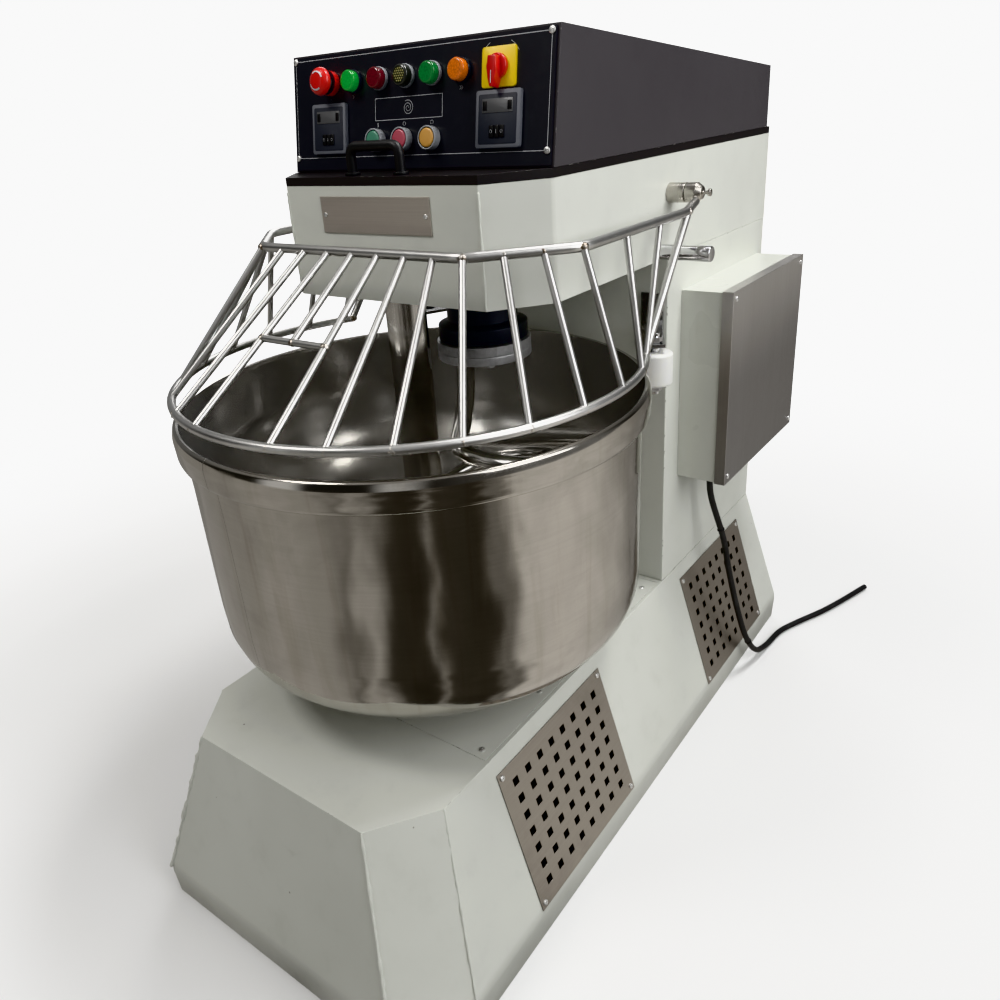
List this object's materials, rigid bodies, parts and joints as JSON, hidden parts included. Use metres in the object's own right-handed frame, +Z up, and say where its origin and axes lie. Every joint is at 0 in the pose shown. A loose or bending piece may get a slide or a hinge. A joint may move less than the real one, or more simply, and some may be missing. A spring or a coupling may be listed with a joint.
{
  "type": "spiral dough mixer",
  "caption": "Floor-standing spiral dough mixer: turning steel bowl, spiral tool and breaker bar under a drive head, lifting wire guard, hinged control hood.",
  "frame": {"origin": "where the bowl's turning axis meets the floor", "axes": "+Z up, -Y towards the operator, +X towards the electrical box; the column stands on the +Y side"},
  "size_m": [0.8332, 1.5118, 1.2623],
  "materials": {
    "body_paint": "off-white enamel over sheet steel, satin, lightly scuffed",
    "hood_paint": "charcoal powder coat, satin",
    "panel_face": "black printed panel film",
    "stainless": "brushed stainless sheet",
    "guard_steel": "polished stainless rod with weld beads",
    "bowl_steel": "mirror-polished, worn stainless",
    "cast_iron": "machined grey iron",
    "dark_steel": "black oxide",
    "chrome": "bright plated",
    "nylon": "white nylon",
    "rubber": "black rubber",
    "motor_paint": "blue-grey machine enamel",
    "device_grey": "grey moulded plastic",
    "stop_red": "red moulded plastic",
    "lens_green": "translucent green lens",
    "lens_red": "translucent red lens",
    "lens_clear": "clear faceted lens",
    "lens_orange": "translucent orange lens",
    "button_green": "green push-button cap",
    "button_red": "red push-button cap",
    "button_yellow": "yellow push-button cap",
    "plate_yellow": "yellow switch plate"
  },
  "bodies": {
    "frame": {"base_shell": "body_paint", "base_floor_plate": "dark_steel", "base_top_cover": "body_paint", "column_shell": "body_paint", "head_shell": "body_paint", "rear_cover": "body_paint", "vent_grille_front_right": "stainless", "vent_grille_rear_right": "stainless", "vent_grille_front_left": "stainless", "vent_grille_rear_left": "stainless", "electrical_box": "body_paint", "electrical_box_cover": "stainless", "contactor_rack": "device_grey", "power_cable": "rubber", "name_plate": "stainless", "guard_pivot_boss_right": "stainless", "guard_pivot_boss_left": "stainless", "guard_stop_bar": "chrome", "roller_bracket_right": "chrome", "roller_bracket_left": "chrome", "spindle_housing": "dark_steel", "breaker_bar": "stainless", "bowl_bearing_housing": "cast_iron", "spindle_motor": "motor_paint", "bowl_motor": "motor_paint", "spindle_belt": "rubber", "bowl_belt": "rubber", "guard_limit_switch": "device_grey"},
    "bowl": {"bowl": "bowl_steel", "bowl_shaft": "cast_iron", "bowl_pulley": "cast_iron"},
    "spiral": {"spiral_tool": "stainless", "spindle_shaft": "cast_iron", "spindle_pulley": "cast_iron"},
    "bowl_drive": {"bowl_motor_pulley": "cast_iron"},
    "spiral_drive": {"spindle_motor_pulley": "cast_iron"},
    "roller_right": {"guide_roller_right": "nylon"},
    "roller_left": {"guide_roller_left": "nylon"},
    "guard": {"bowl_guard": "guard_steel", "guard_pivot_cap_right": "stainless", "guard_pivot_cap_left": "stainless"},
    "hood": {"hood_shell": "hood_paint", "hood_base_plate": "hood_paint", "hood_handle": "hood_paint", "control_panel": "panel_face", "lamp_slow_green": "lens_green", "lamp_red": "lens_red", "lamp_clear": "lens_clear", "lamp_forward_green": "lens_green", "lamp_fast_orange": "lens_orange", "selector_plate": "plate_yellow", "slow_timer": "device_grey", "fast_timer": "device_grey"},
    "start_button": {"start_button": "button_green"},
    "stop_button": {"stop_button": "button_red"},
    "inch_button": {"inch_button": "button_yellow"},
    "estop_stem": {"estop_stem": "device_grey"},
    "estop_button": {"estop_button": "stop_red"},
    "selector_knob": {"selector_knob": "stop_red"}
  },
  "joints": [
    {"name": "bowl_spin", "type": "hinge", "parent": "frame", "child": "bowl", "pos_m": [0, 0, 0.5], "axis": [0, 0, 1], "continuous": true},
    {"name": "spiral_spin", "type": "hinge", "parent": "frame", "child": "spiral", "pos_m": [0, 0.184, 0.8], "axis": [0, 0, 1], "continuous": true},
    {"name": "bowl_motor_spin", "type": "hinge", "parent": "frame", "child": "bowl_drive", "pos_m": [0, 0.56, 0.115], "axis": [0, 0, 1], "continuous": true},
    {"name": "spiral_motor_spin", "type": "hinge", "parent": "frame", "child": "spiral_drive", "pos_m": [0, 0.61, 1.02], "axis": [0, 0, 1], "continuous": true},
    {"name": "roller_right_spin", "type": "hinge", "parent": "frame", "child": "roller_right", "pos_m": [0.26779, 0.27731, 0.768], "axis": [0, 0, 1], "continuous": true},
    {"name": "roller_left_spin", "type": "hinge", "parent": "frame", "child": "roller_left", "pos_m": [-0.26779, 0.27731, 0.768], "axis": [0, 0, 1], "continuous": true},
    {"name": "guard_swing", "type": "hinge", "parent": "frame", "child": "guard", "pos_m": [0, 0.3802, 1.0295], "axis": [-1, 0, 0], "range_deg": [0, 80]},
    {"name": "hood_lift", "type": "hinge", "parent": "frame", "child": "hood", "pos_m": [0, 0.829, 1.0876], "axis": [1, 0, 0], "range_deg": [-60, 0]},
    {"name": "start_press", "type": "slide", "parent": "hood", "child": "start_button", "axis": [0, 0.9869, -0.1613], "range_m": [0, 0.004]},
    {"name": "stop_press", "type": "slide", "parent": "hood", "child": "stop_button", "axis": [0, 0.9869, -0.1613], "range_m": [0, 0.004]},
    {"name": "inch_press", "type": "slide", "parent": "hood", "child": "inch_button", "axis": [0, 0.9869, -0.1613], "range_m": [0, 0.004]},
    {"name": "estop_press", "type": "slide", "parent": "hood", "child": "estop_stem", "axis": [0, 0.9869, -0.1613], "range_m": [0, 0.004]},
    {"name": "estop_twist", "type": "hinge", "parent": "estop_stem", "child": "estop_button", "pos_m": [-0.1525, 0.03916, 1.22392], "axis": [0, 0.9869, -0.1613], "range_deg": [0, 45]},
    {"name": "selector_turn", "type": "hinge", "parent": "hood", "child": "selector_knob", "pos_m": [0.1525, 0.05088, 1.22119], "axis": [0, 0.9869, -0.1613], "range_deg": [-45, 45]}
  ],
  "couplings": [
    {"joint": "bowl_motor_spin", "follows": "bowl_spin", "ratio": 3.2},
    {"joint": "roller_right_spin", "follows": "bowl_spin", "ratio": -13.241},
    {"joint": "roller_left_spin", "follows": "bowl_spin", "ratio": -13.241},
    {"joint": "spiral_motor_spin", "follows": "spiral_spin", "ratio": 2.6}
  ]
}
